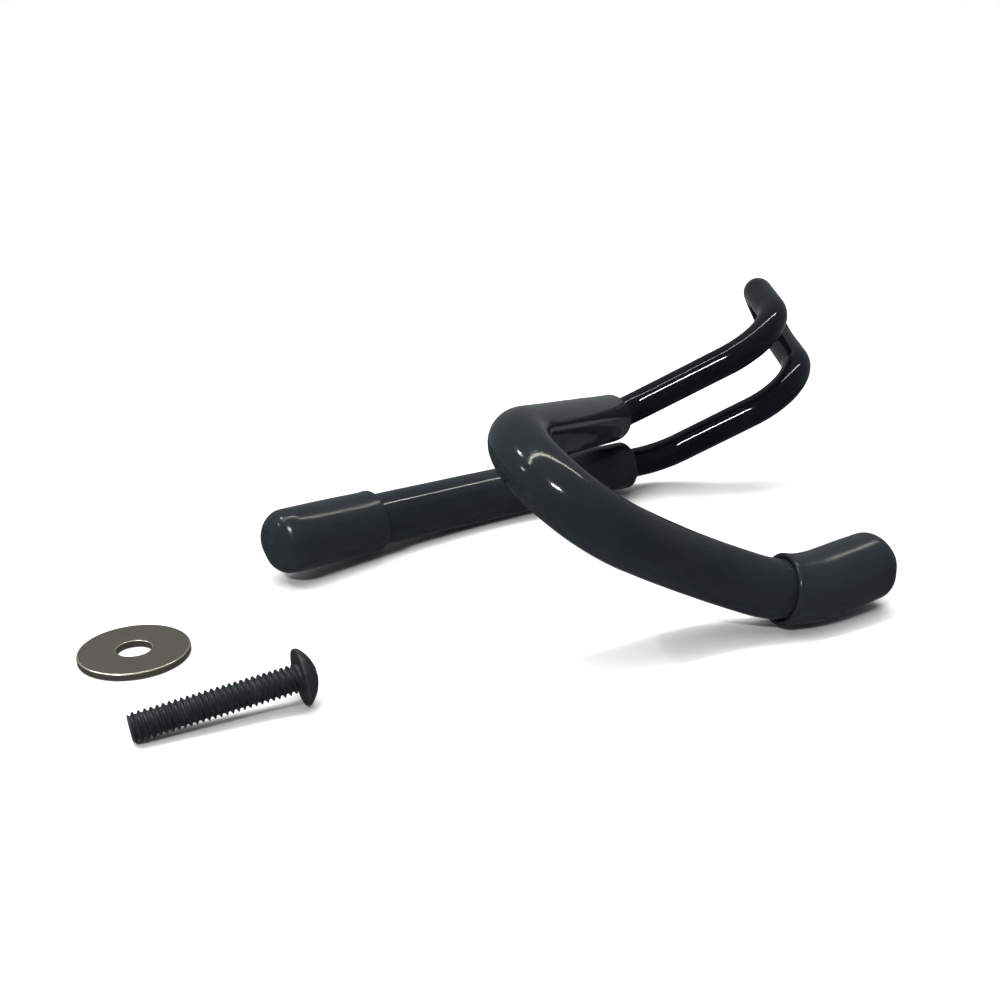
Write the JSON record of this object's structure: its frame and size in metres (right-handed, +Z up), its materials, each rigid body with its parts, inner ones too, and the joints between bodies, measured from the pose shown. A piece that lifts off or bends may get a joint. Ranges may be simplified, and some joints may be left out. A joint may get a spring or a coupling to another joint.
{
  "type": "wall guitar hanger",
  "caption": "Bent-rod wall hanger yoke for a guitar, with soft sleeves and end caps on its arms, beside its clamping screw and fender washer.",
  "frame": {"origin": "on the table top, in the middle of the laid-out set's footprint", "axes": "+Z up from the table top the pieces lie on; +X to the right and +Y away from the viewer, towards the rod's loop end"},
  "size_m": [0.1984, 0.209, 0.0608],
  "materials": {
    "coated_rod": "gloss powder coat",
    "vinyl_sleeve": "smooth satin vinyl",
    "vinyl_cap": "smooth satin vinyl",
    "stainless": "satin",
    "black_oxide": "black oxide"
  },
  "bodies": {
    "hanger": {"hanger_rod": "coated_rod", "upper_arm_sleeve": "vinyl_sleeve", "lower_arm_sleeve": "vinyl_sleeve", "upper_arm_cap": "vinyl_cap", "lower_arm_cap": "vinyl_cap"},
    "washer": {"fender_washer": "stainless"},
    "screw": {"mounting_screw": "black_oxide"}
  },
  "joints": [
    {"name": "washer_lift", "type": "slide", "parent": "hanger", "child": "washer", "axis": [0, 0, 1], "range_m": [0, 0.1]},
    {"name": "screw_lift", "type": "slide", "parent": "hanger", "child": "screw", "axis": [0, 0, 1], "range_m": [0, 0.1]}
  ]
}
